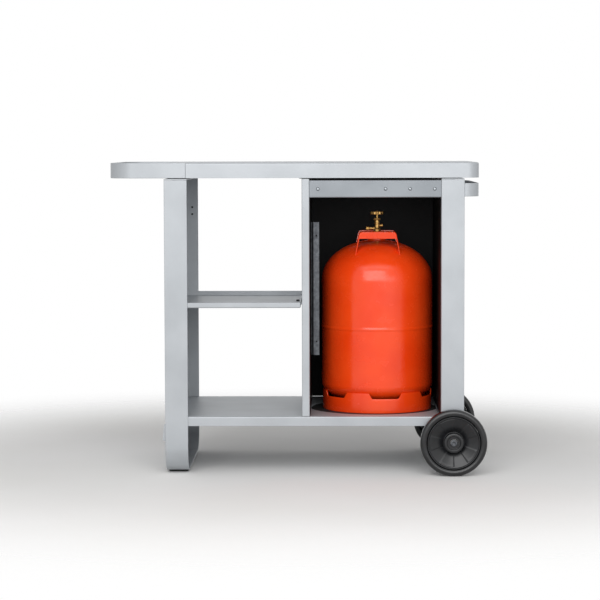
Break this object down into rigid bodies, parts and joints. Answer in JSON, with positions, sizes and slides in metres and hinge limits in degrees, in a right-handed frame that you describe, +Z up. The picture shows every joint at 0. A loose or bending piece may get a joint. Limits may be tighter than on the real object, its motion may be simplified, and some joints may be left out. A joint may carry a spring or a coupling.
{
  "type": "wheeled gas burner stand",
  "caption": "Wheeled sheet-steel cart for a gas burner: flat table with a push handle, open shelves, a cabinet that holds a gas bottle, and two wheels.",
  "frame": {"origin": "on the floor, under the middle of the stand's outline", "axes": "+Z up; +X along the table, away from the push handle; the open front faces -Y"},
  "size_m": [0.9884, 0.55, 0.82],
  "materials": {
    "silver_coat": "satin silver powder coat",
    "grey_coat": "satin grey coat",
    "black_coat": "semi-gloss black coat",
    "galvanised_steel": "galvanised",
    "zinc_plate": "zinc plated",
    "black_rubber": "matt moulded rubber",
    "tyre_rubber": "satin moulded tyre",
    "grey_plastic": "moulded dark grey plastic",
    "white_plastic": "plain moulded plastic",
    "orange_paint": "glossy orange-red paint",
    "brass": "turned and forged, a little dull"
  },
  "bodies": {
    "stand": {"table_top": "silver_coat", "handle_loop": "silver_coat", "table_beam_left": "galvanised_steel", "table_beam_middle": "galvanised_steel", "table_beam_right": "galvanised_steel", "left_frame_band": "silver_coat", "left_side_panel": "silver_coat", "left_top_plate": "silver_coat", "left_front_pad": "black_rubber", "left_rear_pad": "black_rubber", "left_lip": "silver_coat", "right_frame_band": "silver_coat", "right_side_panel": "silver_coat", "right_top_plate": "silver_coat", "lower_shelf": "silver_coat", "bottle_mat": "black_rubber", "middle_tray": "silver_coat", "tray_bumper": "black_rubber", "leg_plug_upper": "black_rubber", "leg_plug_lower": "black_rubber", "tray_screw_left_front": "zinc_plate", "tray_screw_left_rear": "zinc_plate", "tray_screw_right_front": "zinc_plate", "tray_screw_right_rear": "zinc_plate", "divider": "silver_coat", "divider_bracket": "galvanised_steel", "cabinet_back": "black_coat", "cabinet_liner_left": "black_coat", "cabinet_liner_right": "black_coat", "cross_rail": "grey_coat", "rail_screw_1": "zinc_plate", "rail_screw_2": "zinc_plate", "rail_screw_3": "zinc_plate", "rail_screw_4": "zinc_plate", "side_rail": "silver_coat", "axle": "zinc_plate", "axle_washer_front": "zinc_plate", "axle_bolt_front": "galvanised_steel", "axle_washer_rear": "zinc_plate", "axle_bolt_rear": "galvanised_steel"},
    "front_wheel": {"wheel_front": "grey_plastic", "tyre_front": "tyre_rubber", "wheel_bush_front": "white_plastic"},
    "rear_wheel": {"wheel_rear": "grey_plastic", "tyre_rear": "tyre_rubber", "wheel_bush_rear": "white_plastic"},
    "gas_bottle": {"bottle_shell": "orange_paint", "bottle_foot_ring": "orange_paint", "bottle_neck_collar": "orange_paint", "carry_bow_front": "orange_paint", "carry_bow_rear": "orange_paint", "valve_body": "brass", "outlet_nut": "brass", "relief_cap": "brass", "valve_bonnet": "brass"},
    "valve_handwheel": {"valve_spindle": "brass", "handwheel": "brass"}
  },
  "joints": [
    {"name": "front_wheel_spin", "type": "hinge", "parent": "stand", "child": "front_wheel", "pos_m": [0.40675, -0.26, 0.0875], "axis": [0, 1, 0], "continuous": true},
    {"name": "rear_wheel_spin", "type": "hinge", "parent": "stand", "child": "rear_wheel", "pos_m": [0.40675, 0.26, 0.0875], "axis": [0, 1, 0], "continuous": true},
    {"name": "bottle_out", "type": "slide", "parent": "stand", "child": "gas_bottle", "axis": [0, -0.9986, 0.0523], "range_m": [0, 0.45]},
    {"name": "valve_turn", "type": "hinge", "parent": "gas_bottle", "child": "valve_handwheel", "pos_m": [0.21075, -0.02, 0.68], "axis": [0, 0, 1], "range_deg": [0, 1080]}
  ]
}
